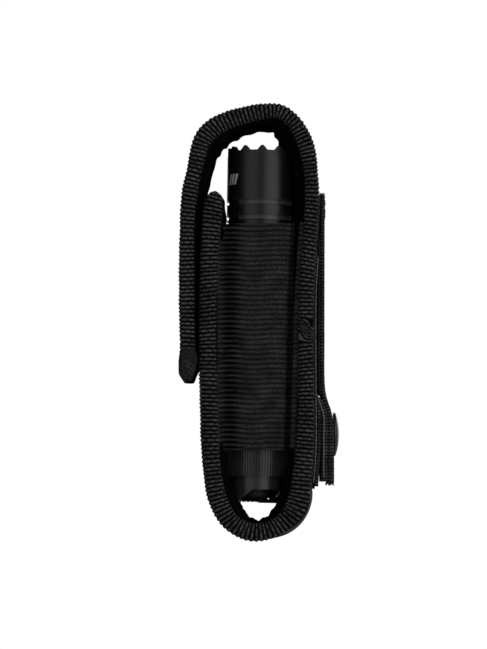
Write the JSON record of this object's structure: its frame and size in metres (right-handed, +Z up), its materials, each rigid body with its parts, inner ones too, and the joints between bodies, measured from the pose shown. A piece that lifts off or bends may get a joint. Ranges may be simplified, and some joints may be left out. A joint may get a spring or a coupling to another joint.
{
  "type": "tactical flashlight in belt pouch",
  "caption": "Handheld metal flashlight with toothed bezel and tail switch, standing head-up in a padded belt pouch with a hook-and-loop flap, elastic sides and a snap belt loop.",
  "frame": {"origin": "middle of the belt passage between the two layers of the belt loop", "axes": "+Z up towards the flap's fold and the flashlight's head, +X towards the wearer, +Y along the belt"},
  "size_m": [0.062, 0.038, 0.1685],
  "materials": {
    "nylon_fabric": "matte",
    "foam": "matte",
    "lining_fabric": "matte",
    "binding_tape": "matte",
    "loop_tape": "matte",
    "hook_tape": "matte",
    "elastic_web": "matte",
    "webbing": "matte",
    "thread": "matte",
    "snap_metal": "satin",
    "snap_paint": "satin",
    "bezel_metal": "satin",
    "anodised_metal": "satin",
    "lens_glass": "polished",
    "seal_rubber": "matte",
    "reflector_mirror": "polished",
    "white_plastic": "matte",
    "led_phosphor": "gloss",
    "led_copper": "satin",
    "circuit_board": "gloss",
    "coil_wire": "satin",
    "brass_ring": "satin",
    "spring_wire": "satin",
    "battery_wrap": "gloss",
    "battery_steel": "satin",
    "switch_plastic": "matte",
    "boot_rubber": "matte",
    "lever_metal": "satin"
  },
  "bodies": {
    "pouch": {"pocket_shell": "nylon_fabric", "pocket_foam": "foam", "pocket_lining": "lining_fabric", "pocket_binding_near": "binding_tape", "pocket_binding_far": "binding_tape", "front_loop_patch": "loop_tape", "elastic_near": "elastic_web", "elastic_far": "elastic_web", "belt_backing_webbing": "webbing", "belt_backing_tape": "loop_tape", "belt_strap_anchor": "webbing", "anchor_stitching": "thread", "snap_stud": "snap_metal"},
    "flap": {"flap_shell": "nylon_fabric", "flap_foam": "foam", "flap_lining": "lining_fabric", "flap_binding_near": "binding_tape", "flap_binding_far": "binding_tape", "flap_hook_patch": "hook_tape"},
    "belt_strap": {"belt_strap_webbing": "webbing", "belt_strap_tape": "hook_tape", "snap_socket": "snap_metal", "snap_cap": "snap_paint"},
    "light": {"bezel_ring": "bezel_metal", "lens": "lens_glass", "lens_oring": "seal_rubber", "reflector": "reflector_mirror", "centering_gasket": "white_plastic", "led_emitter": "led_phosphor", "led_board": "led_copper", "head_housing": "anodised_metal", "driver_board": "circuit_board", "driver_coil": "coil_wire", "driver_retaining_ring": "brass_ring", "driver_spring": "spring_wire", "body_tube": "anodised_metal", "head_oring": "seal_rubber", "tail_oring": "seal_rubber", "battery_cell": "battery_wrap", "battery_contact": "battery_steel"},
    "tail": {"tail_cap": "anodised_metal", "switch_retaining_ring": "brass_ring", "tail_spring": "spring_wire", "switch_board": "circuit_board", "switch_housing": "switch_plastic", "boot_clamp_ring": "switch_plastic"},
    "main_button": {"switch_plunger": "white_plastic", "rubber_boot": "boot_rubber"},
    "mode_switch": {"mode_lever": "lever_metal"}
  },
  "joints": [
    {"name": "flap_open", "type": "hinge", "parent": "pouch", "child": "flap", "pos_m": [-0.0009, 0, 0.0578], "axis": [0, 1, 0], "range_deg": [0, 150]},
    {"name": "light_draw", "type": "slide", "parent": "pouch", "child": "light", "axis": [0.0175, 0, 0.9998], "range_m": [0, 0.0524]},
    {"name": "belt_strap_open", "type": "hinge", "parent": "pouch", "child": "belt_strap", "pos_m": [0.0027, 0, 0.0289], "axis": [0, -1, 0], "range_deg": [0, 85]},
    {"name": "tail_cap_twist", "type": "hinge", "parent": "light", "child": "tail", "pos_m": [-0.02356, 0, -0.05499], "axis": [-0.0175, 0, -0.9998], "range_deg": [0, 90]},
    {"name": "main_button_press", "type": "slide", "parent": "tail", "child": "main_button", "axis": [0.0175, 0, 0.9998], "range_m": [0, 0.0018], "stiffness_N_per_m": 800},
    {"name": "mode_switch_press", "type": "slide", "parent": "tail", "child": "mode_switch", "axis": [0.0175, 0, 0.9998], "range_m": [0, 0.0006], "stiffness_N_per_m": 1500}
  ],
  "couplings": [
    {"joint": "light_draw", "follows": "flap_open", "m_per_rad": 0.02}
  ]
}
